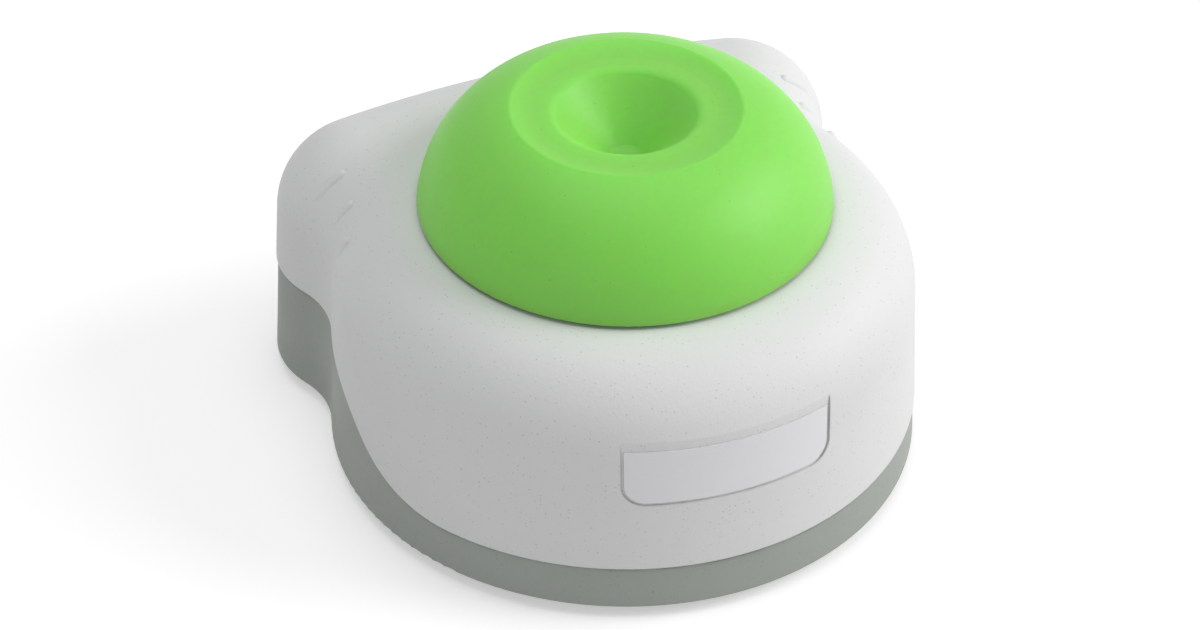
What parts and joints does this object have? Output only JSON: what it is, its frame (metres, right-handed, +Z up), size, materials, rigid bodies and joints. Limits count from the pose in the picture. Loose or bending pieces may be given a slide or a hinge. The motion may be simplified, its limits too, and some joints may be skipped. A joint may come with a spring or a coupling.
{
  "type": "mini vortex mixer",
  "caption": "Palm-sized touch-operated vortex mixer with a white moulded case, a grey base pan and a green silicone cup head.",
  "frame": {"origin": "middle of the footprint, on the plane that the feet stand on", "axes": "+Z up along the drive axis, which stands 2.3 mm in front of the origin, -Y the front with the recessed panel, +X the right-hand side"},
  "size_m": [0.1016, 0.1051, 0.0666],
  "materials": {
    "shell_plastic": "fine moulded grain, white",
    "pan_plastic": "fine moulded grain, mid grey",
    "panel_film": "smooth, pale silver",
    "head_silicone": "smooth satin, light green",
    "foot_rubber": "matt, dark",
    "grommet_rubber": "matt, black",
    "screw_steel": "zinc plated",
    "ballast_steel": "phosphated steel",
    "post_steel": "turned",
    "spring_steel": "drawn wire",
    "plate_steel": "sheet",
    "can_steel": "drawn, nickel plated",
    "bearing_steel": "ground",
    "crank_steel": "machined",
    "bronze": "sintered bronze",
    "copper": "enamelled wire and segments",
    "magnet_ferrite": "ferrite",
    "core_iron": "stacked sheet",
    "bush_nylon": "natural nylon",
    "core_plastic": "moulded",
    "cap_plastic": "moulded",
    "switch_plastic": "moulded",
    "plunger_plastic": "moulded, red",
    "board_laminate": "green solder mask",
    "capacitor_sleeve": "sleeve",
    "regulator_plastic": "moulded",
    "socket_plastic": "natural nylon",
    "inlet_plastic": "black",
    "pin_brass": "nickel plated"
  },
  "bodies": {
    "case": {"base_pan": "pan_plastic", "top_cover": "shell_plastic", "label_panel": "panel_film", "rubber_feet": "foot_rubber", "case_screws": "screw_steel", "ballast_plate": "ballast_steel", "ballast_screws": "screw_steel", "guide_posts": "post_steel", "carriage_springs": "spring_steel", "switch_body": "switch_plastic", "switch_screws": "screw_steel", "switch_bracket": "plate_steel", "circuit_board": "board_laminate", "board_screws": "screw_steel", "board_capacitors": "capacitor_sleeve", "speed_regulator": "regulator_plastic", "lead_sockets": "socket_plastic", "power_inlet": "inlet_plastic", "inlet_pin": "pin_brass"},
    "carriage": {"motor_plate": "plate_steel", "guide_bushes": "bush_nylon", "steady_pins": "post_steel", "motor_can": "can_steel", "motor_front_bush": "bronze", "motor_end_cap": "cap_plastic", "motor_rear_bush": "bronze", "motor_magnets": "magnet_ferrite", "motor_brushes": "cap_plastic", "motor_screws": "screw_steel"},
    "drive_shaft": {"armature_core": "core_iron", "armature_windings": "copper", "motor_commutator": "copper", "motor_shaft": "post_steel", "eccentric_crank": "crank_steel", "crank_set_screw": "screw_steel", "bearing_clip": "spring_steel", "bearing_inner_rings": "bearing_steel", "bearing_spacer": "crank_steel", "bearing_balls": "bearing_steel"},
    "head": {"bearing_outer_rings": "bearing_steel", "cup_head": "head_silicone", "head_core": "core_plastic", "pin_grommets": "grommet_rubber"},
    "switch_plunger": {"switch_plunger": "plunger_plastic"}
  },
  "joints": [
    {"name": "press", "type": "slide", "parent": "case", "child": "carriage", "axis": [0, 0, -1], "range_m": [0, 0.0005], "stiffness_N_per_m": 800, "springref_m": -0.0035, "deforming": ["carriage_springs"]},
    {"name": "motor_spin", "type": "hinge", "parent": "carriage", "child": "drive_shaft", "pos_m": [0, -0.00227, 0.02], "axis": [0, 0, 1], "continuous": true},
    {"name": "head_orbit", "type": "hinge", "parent": "drive_shaft", "child": "head", "pos_m": [0.00054, -0.00087, 0.05], "axis": [0, 0, 1], "continuous": true},
    {"name": "plunger_travel", "type": "slide", "parent": "case", "child": "switch_plunger", "axis": [0, 0, -1], "range_m": [0, 0.0005]}
  ],
  "couplings": [
    {"joint": "head_orbit", "follows": "motor_spin", "ratio": -1},
    {"joint": "plunger_travel", "follows": "press", "ratio": 1}
  ]
}
